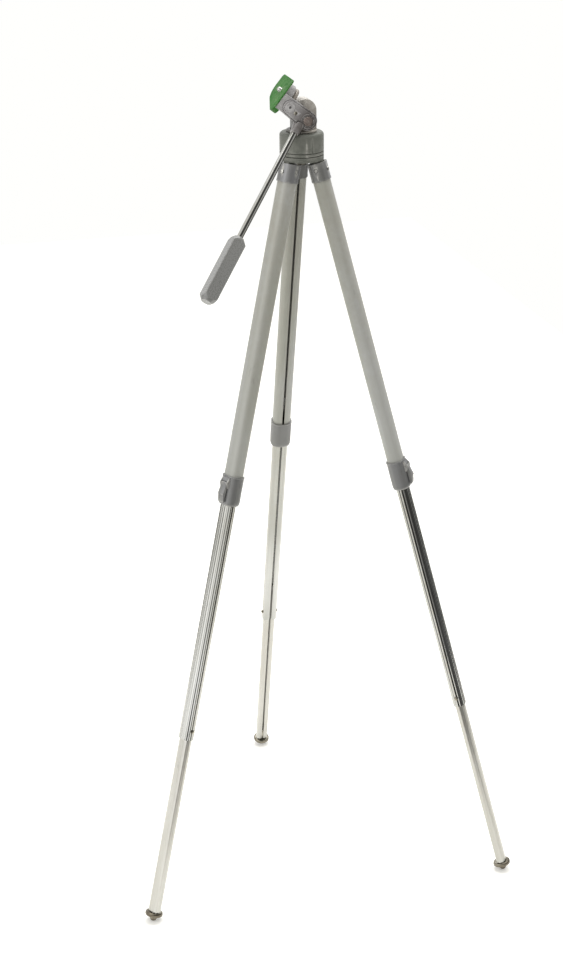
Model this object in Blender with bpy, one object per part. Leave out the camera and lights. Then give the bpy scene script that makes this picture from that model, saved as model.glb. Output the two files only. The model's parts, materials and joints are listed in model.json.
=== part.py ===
"""Light metal field tripod: three telescopic legs, a crown and a pan-and-tilt head.

Sizes are in millimetres, and add_part() turns them into metres. +Z is up. The origin is at
the middle of the footprint, on the ground. Each moving piece hangs from an empty on its joint's axis.
"""
import math

import bmesh
import bpy
from mathutils import Matrix, Vector

MM = 0.001
GAP = 0.3                      # clearance between neighbouring pieces

# Legs: distances down a leg are measured from its hinge pin.
LEGS = {"rear": 90.0, "left": 210.0, "right": 330.0}    # azimuth of each foot, degrees
LEG_LEAN = 15.23               # spread of an open leg from the vertical, degrees
HINGE_RADIUS = 22.6            # hinge pins from the tripod's axis
HINGE_HEIGHT = 1006.0
PIN_RADIUS = 2.5
LUG = (5.6, 5.0)               # half depth and half width of the crown's lug in each leg
TIP_RADIUS = 5.0
LEG_LENGTH = (HINGE_HEIGHT - TIP_RADIUS) / math.cos(math.radians(LEG_LEAN)) + TIP_RADIUS

# Leg sections: (depth, width) outside, the width lying across the leg.
UPPER = {"depth": 21.5, "width": 25.0, "wall": 1.2, "slot": 3.0, "flutes": 0, "flute_depth": 0.0}
MIDDLE = {"depth": 17.0, "width": 21.5, "wall": 1.2, "slot": 3.0, "flutes": 16, "flute_depth": 0.45}
LOWER = {"depth": 13.0, "width": 18.0, "wall": 1.0, "slot": 2.5, "flutes": 12, "flute_depth": 0.4}
SQUARENESS = 2.6               # exponent of the rounded section, 2 is an ellipse
UPPER_ENDS = (-8.5, 436.0)
MIDDLE_ENDS = (370.0, 774.0)
LOWER_ENDS = (714.0, 1028.0)
CAP = {"depth": 24.0, "width": 27.5, "top": -8.7, "bottom": 15.0}
RIVET_DOWN = 2.0
COLLAR = {"depth": 24.5, "width": 28.5, "top": 404.0, "bottom": 444.0, "rim": 0.4, "taper": 6.0}
LEVER_PIN = (14.4, 414.0)      # outwards, down the leg
LEVER_WIDTH = 10.0
LEVER_END = 440.0
BUTTON_DOWN = 761.0
BUTTON_RADIUS = 2.4
BUTTON_TRAVEL = 1.0
BUTTON_PROUD = 2.0
FOOT_RADIUS = 12.0
FOOT_THICKNESS = 5.7

# Hub and pan bearing.
HUB_RADIUS = 28.5
CROWN = (1017.5, 1024.0)
GROOVE = 0.9                   # height and depth of the grooves round the hub
RING = (1024.3, 1029.4)
HOUSING = (1029.7, 1054.0)
HOUSING_ROUND = 4.5
PAN_BOLT_RADIUS = 5.0
PAN_BOLT_TOP = 1061.5

# Tilting head: X and Z of the tilt pivot, and the lean of the arm from the vertical.
PIVOT = (2.3, 1070.5)
TILT_LEAN = 51.0
POST_THICKNESS = 20.0
POST_RADIUS = 15.2
POST_CENTRE = 1081.0
FLANGE_RADIUS = 20.0
FLANGE = (1054.3, 1057.2)
TILT_BOLT_RADIUS = 4.0
SPACER = (-10.3, -16.7)        # stack along Y, from the post towards the near side
ARM = (-17.0, -24.0)
COVER = (-24.3, -25.3)
ARM_END_RADIUS = 12.3
ARM_HALF_WIDTH = 10.75
PLATFORM_TOP = 47.0            # above the pivot, along the arm
PLATFORM_THICKNESS = 1.5
PLATFORM_LIP = 8.0
PLATFORM_CORNERS = ((29.2, -24.8, 4.5), (-21.0, -24.8, 8.0), (-1.7, 28.5, 20.0), (29.5, 27.5, 5.0))
POCKET_CORNERS = ((27.6, -23.2, 3.0), (-18.7, -23.2, 6.4), (-0.6, 26.9, 18.4), (27.6, 25.9, 3.5))
PAD = (33.5, 45.2)
PAD_RADIUS = 15.0
BRIDGE_BOTTOM = 40.0           # underside of the block between the arm and the pad
PLATFORM_SCREW_X = -8.2
SCREW_AXIS = (10.0, -2.5)      # camera screw, in the arm's own X and Y
SCREW_TIP = 4.0                # above the platform
KNOB_RADIUS = 14.0
KNOB = (26.8, 31.0)
COVER_END = (30.0, 8.6)        # height and radius of the face plate's upper end
COVER_SCREW = (-1.5, 19.5)
QUARTER_INCH = 3.175

# Pan handle, in the arm's frame.
HANDLE_START = (-9.0, -20.0, 6.0)
HANDLE_SPLAY = 28.0
BOSS_LENGTH = 16.0
ROD_RADIUS = 4.0
ROD_LENGTH = 208.0
GRIP = (177.0, 272.0)          # along the handle
GRIP_SIDE = 18.6

# Materials: base colour, roughness, metallic.
FINISHES = {
    "leg_enamel": ((0.40, 0.41, 0.40), 0.55, 0.2),
    "hub_enamel": ((0.30, 0.31, 0.28), 0.45, 0.3),
    "collar_metal": ((0.24, 0.24, 0.23), 0.5, 0.3),
    "chrome": ((0.70, 0.70, 0.68), 0.12, 1.0),
    "nickel": ((0.62, 0.61, 0.56), 0.22, 1.0),
    "cast_metal": ((0.45, 0.42, 0.40), 0.42, 0.6),
    "green_enamel": ((0.07, 0.33, 0.06), 0.4, 0.0),
    "grip_plastic": ((0.38, 0.38, 0.36), 0.5, 0.0),
    "dark_nickel": ((0.22, 0.20, 0.17), 0.35, 0.9),
}


def clear_scene():
    """Remove whatever the scene holds."""
    for thing in list(bpy.data.objects):
        bpy.data.objects.remove(thing, do_unlink=True)


def make_materials():
    """One Principled material for each finish."""
    for name, (colour, roughness, metallic) in FINISHES.items():
        material = bpy.data.materials.new(name)
        material.use_nodes = True
        shader = material.node_tree.nodes["Principled BSDF"]
        shader.inputs["Base Color"].default_value = (*colour, 1.0)
        shader.inputs["Roughness"].default_value = roughness
        shader.inputs["Metallic"].default_value = metallic


def empty(name, parent=None, location=(0, 0, 0), rotation=(0, 0, 0)):
    """An axis: location in millimetres, rotation in degrees."""
    axis = bpy.data.objects.new(name, None)
    bpy.context.scene.collection.objects.link(axis)
    axis.parent = parent
    axis.location = Vector(location) * MM
    axis.rotation_euler = [math.radians(angle) for angle in rotation]
    return axis


def add_part(name, shape, finish, parent, location=(0, 0, 0), rotation=(0, 0, 0)):
    """Make an object from a bmesh drawn in millimetres."""
    bmesh.ops.recalc_face_normals(shape, faces=shape.faces)
    bmesh.ops.scale(shape, vec=(MM, MM, MM), verts=shape.verts)
    mesh = bpy.data.meshes.new(name)
    shape.to_mesh(mesh)
    shape.free()
    mesh.shade_smooth()
    mesh.set_sharp_from_angle(angle=math.radians(32))
    part = bpy.data.objects.new(name, mesh)
    bpy.context.scene.collection.objects.link(part)
    part.parent = parent
    part.location = Vector(location) * MM
    part.rotation_euler = [math.radians(angle) for angle in rotation]
    if finish:
        mesh.materials.append(bpy.data.materials[finish])
    return part


def add_tool(name, shape, parent, location=(0, 0, 0), rotation=(0, 0, 0)):
    """A shape that only cuts or joins: it is never a piece of the tripod."""
    tool = add_part(name, shape, None, parent, location, rotation)
    tool.hide_render = True
    tool.display_type = "WIRE"
    return tool


def combine(part, operation, *tools):
    """Cut or join a part with tools, exactly."""
    for tool in tools:
        boolean = part.modifiers.new(tool.name, "BOOLEAN")
        boolean.operation = operation
        boolean.solver = "EXACT"
        boolean.object = tool


def loft(loops, wrap=False):
    """Skin a row of loops of points; a loop of one point is a pole. A wrapped row is a ring."""
    shape = bmesh.new()
    rows = [[shape.verts.new(point) for point in loop] for loop in loops]
    for row, following in zip(rows, rows[1:] + rows[:1] if wrap else rows[1:]):
        count = max(len(row), len(following))
        for i in range(count):
            j = (i + 1) % count
            corners = [row[i % len(row)], row[j % len(row)],
                       following[j % len(following)], following[i % len(following)]]
            shape.faces.new(dict.fromkeys(corners))
    if not wrap:
        for row in (rows[0], rows[-1]):
            if len(row) > 2:
                shape.faces.new(row)
    return shape


def lathe(profile, segments=24, wrap=False):
    """Turn a profile of (radius, height) points round Z."""
    turns = [2 * math.pi * i / segments for i in range(segments)]
    loops = []
    for radius, height in profile:
        if radius < 1e-6:
            loops.append([(0, 0, height)])
        else:
            loops.append([(radius * math.cos(t), radius * math.sin(t), height) for t in turns])
    return loft(loops, wrap)


def cylinder(radius, low, high, segments=16):
    return lathe([(radius, low), (radius, high)], segments)


def box(low, high):
    """A box between two corners."""
    shape = bmesh.new()
    bmesh.ops.create_cube(shape, size=1.0)
    for vert in shape.verts:
        for i in range(3):
            vert.co[i] = low[i] if vert.co[i] < 0 else high[i]
    return shape


def slab(outline, low, high):
    """Extrude an outline of (x, z) points along Y."""
    return loft([[(x, y, z) for x, z in outline] for y in (low, high)])


def plate(outline, low, high):
    """Extrude an outline of (x, y) points along Z."""
    return loft([[(x, y, z) for x, y in outline] for z in (low, high)])


def arc(centre, radius, start, end, steps):
    """Points of a circular arc, angles in degrees."""
    angles = [math.radians(start + (end - start) * i / steps) for i in range(steps + 1)]
    return [(centre[0] + radius * math.cos(a), centre[1] + radius * math.sin(a)) for a in angles]


def rounded(corners, steps=6):
    """Round an outline's corners, each given as (x, y, radius)."""
    outline = []
    for i, (x, y, radius) in enumerate(corners):
        here = Vector((x, y))
        back = (Vector(corners[i - 1][:2]) - here).normalized()
        ahead = (Vector(corners[(i + 1) % len(corners)][:2]) - here).normalized()
        half = math.acos(max(-1.0, min(1.0, back.dot(ahead)))) / 2
        start = here + back * radius / math.tan(half)
        end = here + ahead * radius / math.tan(half)
        middle = here + (back + ahead).normalized() * radius / math.sin(half)
        for k in range(steps + 1):
            direction = ((start - middle) * (1 - k / steps) + (end - middle) * k / steps).normalized()
            outline.append(tuple(middle + direction * radius))
    return outline


def section_radius(angle, depth, width, flutes=0, flute_depth=0.0):
    """Radius of the rounded leg section in a direction, with crests and flutes round it."""
    along = abs(math.cos(angle)) / (depth / 2)
    across = abs(math.sin(angle)) / (width / 2)
    radius = (along ** SQUARENESS + across ** SQUARENESS) ** (-1 / SQUARENESS)
    return radius - flute_depth * (1 - math.cos(flutes * angle)) / 2


def section_loop(depth, width, height, points=24):
    """A closed loop of the leg section at a height."""
    loop = []
    for i in range(points):
        angle = 2 * math.pi * i / points
        radius = section_radius(angle, depth, width)
        loop.append((radius * math.cos(angle), radius * math.sin(angle), height))
    return loop


def channel(section, top, bottom):
    """A leg tube, rolled from strip and open along a slot on its inner side."""
    depth, width, wall = section["depth"], section["width"], section["wall"]
    steps = section["flutes"] * 2 or 24
    outer_end = math.pi - math.atan(section["slot"] / depth)
    inner_end = math.pi - math.atan(section["slot"] / (depth - 2 * wall))
    outline = []
    for i in range(steps + 1):
        angle = outer_end * (2 * i / steps - 1)
        radius = section_radius(angle, depth, width, section["flutes"], section["flute_depth"])
        outline.append((radius * math.cos(angle), radius * math.sin(angle)))
    for i in range(steps + 1):
        angle = inner_end * (1 - 2 * i / steps)
        radius = section_radius(angle, depth - 2 * wall, width - 2 * wall)
        outline.append((radius * math.cos(angle), radius * math.sin(angle)))
    return plate(outline, -bottom, -top)


def hexagon_loop(across, height, points=18):
    """A hexagon across its flats, as a loop of evenly turned points."""
    loop = []
    for i in range(points):
        angle = 2 * math.pi * i / points
        fold = (angle + math.pi / 6) % (math.pi / 3) - math.pi / 6
        radius = across / 2 / math.cos(fold)
        loop.append((radius * math.cos(angle), radius * math.sin(angle), height))
    return loop


def circle_loop(radius, height, points=18):
    return [(radius * math.cos(2 * math.pi * i / points),
             radius * math.sin(2 * math.pi * i / points), height) for i in range(points)]


# ---------------------------------------------------------------- crown and pan bearing

def make_crown(root, pin_tools):
    """The fixed crown: a disc with a lug for each leg."""
    low, high = CROWN
    bore = PAN_BOLT_RADIUS + GAP
    crown = add_part("crown", lathe([(bore, high), (HUB_RADIUS, high), (HUB_RADIUS, low + 1),
                                     (HUB_RADIUS - 1, low), (bore, low)], 32, wrap=True), "hub_enamel", root)
    half_depth, half_width = LUG
    bottom = arc((0, HINGE_HEIGHT), half_depth, -180, 0, 10)
    outline = [(half_depth, low + 1), (-half_depth, low + 1)] + bottom
    for name, azimuth in LEGS.items():
        angle = math.radians(azimuth)
        place = (HINGE_RADIUS * math.cos(angle), HINGE_RADIUS * math.sin(angle), 0)
        lug = add_tool(f"crown_lug_{name}", slab(outline, -half_width, half_width), root, place, (0, 0, azimuth))
        combine(crown, "UNION", lug)
    combine(crown, "DIFFERENCE", *pin_tools)


def make_hub(root, pan):
    """The pan bearing above the crown: ring, housing and through bolt."""
    low, high = RING
    band = HUB_RADIUS - 1.5
    bore = PAN_BOLT_RADIUS + GAP
    add_part("pan_ring", lathe([(9, high), (band, high), (band, high - GROOVE), (HUB_RADIUS, high - GROOVE),
                                (HUB_RADIUS, low + GROOVE), (band, low + GROOVE), (band, low), (9, low)],
                               32, wrap=True), "hub_enamel", root)
    low, high = HOUSING
    shoulder = arc((HUB_RADIUS - HOUSING_ROUND, high - HOUSING_ROUND), HOUSING_ROUND, 90, 0, 4)
    housing = add_part("pan_housing", lathe([(bore, high)] + shoulder + [(HUB_RADIUS, low), (bore, low)],
                                            32, wrap=True), "hub_enamel", pan)
    mark = box((-0.4, -HUB_RADIUS - 1, low - 1), (0.4, -HUB_RADIUS + 0.5, low + 2.5))
    combine(housing, "DIFFERENCE", add_tool("index_mark", mark, pan, rotation=(0, 0, 15)))
    head = CROWN[0] - GAP
    add_part("pan_bolt", loft([hexagon_loop(13, head - 6), hexagon_loop(13, head),
                               circle_loop(PAN_BOLT_RADIUS, head), circle_loop(PAN_BOLT_RADIUS, PAN_BOLT_TOP)]),
             "dark_nickel", root)


def make_post(pan):
    """The head's fixed body: a round flange with a round-topped post across it."""
    bore = PAN_BOLT_RADIUS + GAP
    low, high = FLANGE
    flange = add_part("head_body", lathe([(FLANGE_RADIUS, low), (FLANGE_RADIUS, high - 1),
                                          (FLANGE_RADIUS - 1, high)], 28), "cast_metal", pan)
    x, groove_y = PIVOT[0], -POST_THICKNESS / 2 + 4

    def outline(radius):
        top = arc((x, POST_CENTRE), radius, 0, 180, 12)
        return [(x + radius, high - 1)] + top + [(x - radius, high - 1)]

    levels = [(-POST_THICKNESS / 2, 1), (-POST_THICKNESS / 2 + 1, 0), (groove_y, 0), (groove_y, 1),
              (groove_y + 1, 1), (groove_y + 1, 0), (POST_THICKNESS / 2, 0)]
    loops = [[(px, y, pz) for px, pz in outline(POST_RADIUS - inset)] for y, inset in levels]
    post = add_tool("post", loft(loops), pan)
    combine(flange, "UNION", post)
    bolt_hole = cylinder(TILT_BOLT_RADIUS + GAP, -30, 30)
    pan_hole = cylinder(bore, low - 2, PAN_BOLT_TOP + 0.5)
    combine(flange, "DIFFERENCE",
            add_tool("post_bolt_hole", bolt_hole, pan, (PIVOT[0], 0, PIVOT[1]), (90, 0, 0)),
            add_tool("post_pan_hole", pan_hole, pan))


# ---------------------------------------------------------------- tilting head

def arm_outline(inset=0.0, top=PAD[1]):
    """The arm in its own X and Z: a round end on the pivot and nearly straight sides."""
    end = arc((0, 0), ARM_END_RADIUS - inset, 175, 365, 12)
    return [(ARM_HALF_WIDTH - inset, top), (-ARM_HALF_WIDTH + inset, top)] + end


def make_arm(tilt, handle):
    """The tilting arm with its platform pad and handle boss, and the plate on its face."""
    arm = add_part("tilt_arm", slab(arm_outline(), *ARM), "cast_metal", tilt)
    pad = add_tool("arm_pad", cylinder(PAD_RADIUS, *PAD, 28), tilt, (*SCREW_AXIS, 0))
    bridge = box((-ARM_HALF_WIDTH, ARM[0] - 1, BRIDGE_BOTTOM), (ARM_HALF_WIDTH, SCREW_AXIS[1], PAD[1]))
    boss = add_tool("arm_boss", lathe([(7.4, 1), (6.6, 8), (5.4, BOSS_LENGTH)], 20), handle)
    combine(arm, "UNION", pad, add_tool("arm_bridge", bridge, tilt), boss)
    pivot_hole = cylinder(TILT_BOLT_RADIUS + GAP, -30, 30)
    screw_hole = cylinder(QUARTER_INCH + GAP, PAD[0] - 5, PLATFORM_TOP + 5)
    rod_hole = cylinder(ROD_RADIUS + GAP, 4, BOSS_LENGTH + 5)
    behind = box((-30, ARM[0], -20), (30, ARM[0] + 12, 20))
    pivot_tool = add_tool("pivot_hole", pivot_hole, tilt, rotation=(90, 0, 0))
    screw_tool = add_tool("screw_hole", screw_hole, tilt, (*SCREW_AXIS, 0))
    combine(arm, "DIFFERENCE", pivot_tool, screw_tool, add_tool("rod_hole", rod_hole, handle),
            add_tool("arm_back", behind, tilt))

    near, face = COVER[1], COVER[0]
    middle, radius = COVER_END
    upper_end = arc((0, middle), radius, 0, 180, 12)
    lower_end = arc((0, 0), ARM_END_RADIUS - 2.2, 175, 365, 12)
    cover = add_part("arm_cover", slab(upper_end + lower_end, near, face), "cast_metal", tilt)
    boss_ring = add_tool("cover_boss", cylinder(6.3, -face + 0.5, -near + 1, 24), tilt, (0, 0, middle), (90, 0, 0))
    boss_hole = add_tool("cover_boss_hole", cylinder(1.8, -face - 2, -near + 4), tilt, (0, 0, middle), (90, 0, 0))
    head_hole = add_tool("cover_head_hole", cylinder(6.4, -face - 2, -near + 4, 24), tilt, (0, 0, 0), (90, 0, 0))
    small_hole = add_tool("cover_screw_hole", cylinder(1.5, -face - 2, -near + 4, 16), tilt,
                          (COVER_SCREW[0], 0, COVER_SCREW[1]), (90, 0, 0))
    boss_room = add_tool("cover_boss_room", cylinder(7.6 + GAP, 0, BOSS_LENGTH, 20), handle)
    combine(cover, "UNION", boss_ring)
    combine(cover, "DIFFERENCE", boss_hole, head_hole, small_hole, boss_room)
    add_part("cover_screw", lathe([(0, -near + 1.6), (1.4, -near + 1.4), (2.4, -near + GAP), (1.2, -near + GAP),
                                   (1.2, -face + GAP)], 20), "dark_nickel", tilt, (COVER_SCREW[0], 0, COVER_SCREW[1]),
             (90, 0, 0))
    return screw_tool


def make_pivot(tilt):
    """The tilt bolt along Y, its spacer against the post and its nut on the far side."""
    bore = TILT_BOLT_RADIUS + GAP
    low, high = -SPACER[0], -SPACER[1]
    add_part("tilt_spacer", lathe([(bore, high), (11, high), (11, low), (bore, low)], 20, wrap=True),
             "dark_nickel", tilt, rotation=(90, 0, 0))
    head = -ARM[1] + GAP
    far = -POST_THICKNESS / 2
    add_part("tilt_bolt", lathe([(3.2, head + 2.4), (4.4, head + 1.8), (5.4, head + 1.8), (6, head + 1.2),
                                 (6, head), (TILT_BOLT_RADIUS, head), (TILT_BOLT_RADIUS, far - 8.5)], 20),
             "cast_metal", tilt, rotation=(90, 0, 0))
    nut_loops = [circle_loop(bore, far - GAP), hexagon_loop(14, far - GAP),
                 hexagon_loop(14, far - 6.5), circle_loop(bore, far - 6.5)]
    add_part("tilt_nut", loft(nut_loops, wrap=True), "nickel", tilt, rotation=(90, 0, 0))


def make_platform(tilt, screw, screw_tool):
    """The camera platform: a pressed plate with a lip, its screws, and the camera screw with its wheel."""
    reach = 40
    under = PLATFORM_TOP - PLATFORM_THICKNESS
    bottom = PLATFORM_TOP - PLATFORM_LIP
    platform = add_part("camera_platform", plate(rounded(PLATFORM_CORNERS), bottom, PLATFORM_TOP), "green_enamel", tilt)
    pocket = add_tool("platform_pocket", plate(rounded(POCKET_CORNERS), bottom - 5, under), tilt)
    open_front = add_tool("platform_front", box((-6, -reach, bottom - 5), (reach, reach, under)), tilt)
    arm_notch = box((-ARM_HALF_WIDTH - GAP, -reach, bottom - 5), (0, SCREW_AXIS[1] + GAP, under))
    combine(platform, "DIFFERENCE", pocket, open_front, add_tool("platform_notch", arm_notch, tilt), screw_tool)
    for name, y in (("inner", -3.5), ("outer", -11.5)):
        drill = cylinder(1.5 + GAP, BRIDGE_BOTTOM - 3, PLATFORM_TOP - 0.5, 16)
        hole = add_tool(f"platform_hole_{name}", drill, tilt, (PLATFORM_SCREW_X, y, 0))
        combine(platform, "DIFFERENCE", hole)
        combine(bpy.data.objects["tilt_arm"], "DIFFERENCE", hole)
        head = BRIDGE_BOTTOM - GAP
        add_part(f"platform_screw_{name}", lathe([(0, head - 1.7), (1.8, head - 1.7), (2.4, head - 0.8), (2.4, head),
                                                  (1.5, head), (1.5, PLATFORM_TOP - 0.8)], 16), "nickel", tilt,
                 (PLATFORM_SCREW_X, y, 0))
    tip = PLATFORM_TOP + SCREW_TIP
    stud = [(0, tip), (QUARTER_INCH - 0.8, tip), (QUARTER_INCH, tip - 1),
            (QUARTER_INCH, KNOB[0] - GAP), (5, KNOB[0] - GAP), (5, KNOB[0] - 1.6), (0, KNOB[0] - 1.6)]
    add_part("camera_screw", lathe(stud, 24), "chrome", screw)
    knurl = 16
    loops = []
    for radius, height in ((KNOB_RADIUS - 1, KNOB[1]), (KNOB_RADIUS, KNOB[1] - 1), (KNOB_RADIUS, KNOB[0] + 1),
                           (KNOB_RADIUS - 1, KNOB[0])):
        turns = [math.pi * i / knurl for i in range(2 * knurl)]
        loops.append([((radius - 0.5 * (i % 2)) * math.cos(t), (radius - 0.5 * (i % 2)) * math.sin(t), height)
                      for i, t in enumerate(turns)])
    bore = QUARTER_INCH + GAP
    loops.append(circle_loop(bore, KNOB[0], 2 * knurl))
    loops.append(circle_loop(bore, KNOB[1], 2 * knurl))
    add_part("camera_knob", loft(loops, wrap=True), "nickel", screw)


def make_handle(handle):
    """The pan handle: a rod with a square grip whose ends are turned to a cone."""
    start = 4 + GAP
    add_part("handle_rod", lathe([(0, start), (ROD_RADIUS - 0.6, start), (ROD_RADIUS, start + 0.6),
                                  (ROD_RADIUS, start + ROD_LENGTH), (0, start + ROD_LENGTH)], 24), "chrome", handle)
    points, corner = 24, 8
    low, high = GRIP

    def loop(height):
        ends = min(height - low, high - height)
        cone = 6.6 + ends * 0.8
        row = []
        for i in range(points):
            angle = 2 * math.pi * i / points
            square = (abs(math.cos(angle)) ** corner + abs(math.sin(angle)) ** corner) ** (-1 / corner)
            radius = min(square * GRIP_SIDE / 2, cone)
            row.append((radius * math.cos(angle), radius * math.sin(angle), height))
        return row

    steps = (0, 3.0, 5.0, 8.0)
    heights = [low + step for step in steps] + [high - step for step in reversed(steps)]
    grip = add_part("handle_grip", loft([loop(height) for height in heights]), "grip_plastic", handle)
    socket = cylinder(ROD_RADIUS + GAP, low - 5, start + ROD_LENGTH + GAP)
    combine(grip, "DIFFERENCE", add_tool("grip_socket", socket, handle))


# ---------------------------------------------------------------- legs

def make_upper_leg(name, leg, lever, pin_tool):
    """The hinged upper leg: cap, tube, rivet, lock collar and its lever."""
    cap_loops = [section_loop(CAP["depth"] - 1, CAP["width"] - 1, -CAP["top"]),
                 section_loop(CAP["depth"], CAP["width"], -CAP["top"] - 1),
                 section_loop(CAP["depth"], CAP["width"], -CAP["bottom"]),
                 section_loop(UPPER["depth"] + 2 * GAP, UPPER["width"] + 2 * GAP, -CAP["bottom"]),
                 section_loop(UPPER["depth"] + 2 * GAP, UPPER["width"] + 2 * GAP, -CAP["top"])]
    cap = add_part(f"{name}_leg_cap", loft(cap_loops, wrap=True), "collar_metal", leg)
    tube = add_part(f"{name}_upper_tube", channel(UPPER, *UPPER_ENDS), "leg_enamel", leg)
    rivet_hole = cylinder(1.7 + GAP, 0, 20, 16)
    rivet_tool = add_tool(f"{name}_rivet_hole", rivet_hole, leg, (0, 0, -RIVET_DOWN), (0, 90, 0))
    combine(cap, "DIFFERENCE", pin_tool, rivet_tool)
    combine(tube, "DIFFERENCE", pin_tool, rivet_tool)
    face = CAP["depth"] / 2
    inside = UPPER["depth"] / 2 - UPPER["wall"]
    add_part(f"{name}_cap_rivet", lathe([(0, face + 1.6), (1.6, face + 1.3), (2.8, face + GAP), (1.7, face + GAP),
                                         (1.7, inside), (0, inside)], 16),
             "nickel", leg, (0, 0, -RIVET_DOWN), (0, 90, 0))

    top, bottom, rim = -COLLAR["top"], -COLLAR["bottom"], COLLAR["rim"]
    depth, width = COLLAR["depth"], COLLAR["width"]
    ledge = -UPPER_ENDS[1] - GAP
    bore = (UPPER["depth"] + 2 * GAP, UPPER["width"] + 2 * GAP)
    throat = (MIDDLE["depth"] + 2.4 * GAP, MIDDLE["width"] + 2.4 * GAP)
    loops = [section_loop(depth + 2 * rim, width + 2 * rim, top),
             section_loop(depth + 2 * rim, width + 2 * rim, top - 2),
             section_loop(depth, width, top - 2.2),
             section_loop(depth, width, bottom + COLLAR["taper"]),
             section_loop(throat[0] + 2.4, throat[1] + 2.4, bottom),
             section_loop(*throat, bottom),
             section_loop(*throat, ledge),
             section_loop(*bore, ledge),
             section_loop(*bore, top)]
    collar = add_part(f"{name}_lock_collar", loft(loops, wrap=True), "collar_metal", leg)
    out, down = LEVER_PIN
    inside, slope = depth / 2 - 0.8, top - 2.5
    for side in (-1, 1):
        edges = sorted((side * (LEVER_WIDTH / 2 + GAP), side * (LEVER_WIDTH / 2 + 1.9)))
        ear = slab([(inside, -down - 7), (inside, slope), (depth / 2 + 0.3, slope), (out + 1.6, -down + 1.5),
                    (out + 2.0, -down - 1), (out - 0.4, -down - 7)], *edges)
        combine(collar, "UNION", add_tool(f"{name}_ear_{side}", ear, leg))
    brow = slab([(inside, -down + 2.7), (inside, slope), (depth / 2 + 0.3, slope), (out + 0.4, -down + 2.7)],
                -LEVER_WIDTH / 2 - 1, LEVER_WIDTH / 2 + 1)
    combine(collar, "UNION", add_tool(f"{name}_brow", brow, leg))
    pin_hole = add_tool(f"{name}_lever_pin_hole", cylinder(0.9 + GAP, -9, 9, 16), lever, rotation=(90, 0, 0))
    combine(collar, "DIFFERENCE", pin_hole)
    reach = LEVER_WIDTH / 2 + 1.7
    add_part(f"{name}_lever_pin", cylinder(0.9, -reach, reach, 12), "nickel", leg, (out, 0, -down), (90, 0, 0))
    length = LEVER_END - down
    crest = arc((0, 0), 1.85, 180, 10, 8)
    outline = crest + [(1.6, -4), (4.2, -14.6), (4.3, -15.4), (3.5, -16), (1.2, -length + 0.4), (0.8, -length),
                       (-0.6, -length), (-1.3, -6)]
    blade = add_part(f"{name}_lock_lever", slab(outline, -LEVER_WIDTH / 2, LEVER_WIDTH / 2), "collar_metal", lever)
    combine(blade, "DIFFERENCE", pin_hole)


def make_lower_leg(name, slide, foot_slide, buttons):
    """The two sliding tubes, the release buttons between them and the foot."""
    middle = add_part(f"{name}_middle_tube", channel(MIDDLE, *MIDDLE_ENDS), "chrome", slide)
    lower = add_part(f"{name}_lower_tube", channel(LOWER, *LOWER_ENDS), "nickel", foot_slide)
    across = cylinder(BUTTON_RADIUS + GAP, -20, 20, 16)
    hole = add_tool(f"{name}_button_hole", across, slide, (0, 0, -BUTTON_DOWN), (90, 0, 0))
    combine(middle, "DIFFERENCE", hole)
    combine(lower, "DIFFERENCE", hole)
    inner = LOWER["width"] / 2 + 0.1 + BUTTON_TRAVEL
    outer = MIDDLE["width"] / 2 + BUTTON_PROUD
    for side, axis in buttons.items():
        turn = -90 if side == "near" else 90
        profile = [(0, outer), (1.3, outer - 0.15), (BUTTON_RADIUS, outer - 0.8), (BUTTON_RADIUS, inner), (0, inner)]
        add_part(f"{name}_button_{side}", lathe(profile, 16), "dark_nickel", axis, rotation=(turn, 0, 0))
    top = -LOWER_ENDS[1] - GAP
    bottom = top - FOOT_THICKNESS
    plug_depth = LOWER["depth"] - 2 * LOWER["wall"] - 2 * GAP
    plug_width = LOWER["width"] - 2 * LOWER["wall"] - 2 * GAP
    disc = [circle_loop(radius, height, 24) for radius, height in (
        (FOOT_RADIUS - 1, top), (FOOT_RADIUS, top - 1.2), (FOOT_RADIUS, bottom + 1.2), (FOOT_RADIUS - 1, bottom))]
    plug = [section_loop(plug_depth, plug_width, height) for height in (top + 18, top)]
    add_part(f"{name}_foot_disc", loft(plug + disc), "dark_nickel", foot_slide)
    centre = -(LEG_LENGTH - TIP_RADIUS)
    dome = [(TIP_RADIUS * math.cos(math.radians(a)), centre - TIP_RADIUS * math.sin(math.radians(a)))
            for a in range(0, 90, 15)]
    add_part(f"{name}_foot_tip", lathe([(TIP_RADIUS, bottom - GAP)] + dome + [(0, centre - TIP_RADIUS)], 20),
             "dark_nickel", foot_slide)


def make_leg(name, azimuth, root):
    """One leg with its hinge pin. Returns the tool that drills for the pin."""
    angle = math.radians(azimuth)
    place = (HINGE_RADIUS * math.cos(angle), HINGE_RADIUS * math.sin(angle), HINGE_HEIGHT)
    leg = empty(f"{name}_leg_hinge", root, place, (0, -LEG_LEAN, azimuth))
    lever = empty(f"{name}_lever_hinge", leg, (LEVER_PIN[0], 0, -LEVER_PIN[1]))
    slide = empty(f"{name}_middle_slide", leg)
    foot_slide = empty(f"{name}_lower_slide", slide)
    buttons = {side: empty(f"{name}_button_{side}_slide", slide, (0, 0, -BUTTON_DOWN)) for side in ("near", "far")}
    pin_tool = add_tool(f"{name}_pin_hole", cylinder(PIN_RADIUS + GAP, -20, 20), leg, rotation=(90, 0, 0))
    make_upper_leg(name, leg, lever, pin_tool)
    make_lower_leg(name, slide, foot_slide, buttons)
    half = CAP["width"] / 2 - 0.3
    pin = lathe([(0, half), (PIN_RADIUS - 0.3, half), (PIN_RADIUS, half - 0.3), (PIN_RADIUS, 0.3 - half),
                 (PIN_RADIUS - 0.3, -half), (0, -half)], 16)
    add_part(f"{name}_hinge_pin", pin, "collar_metal", root, place, (90, 0, azimuth))
    return pin_tool


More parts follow.
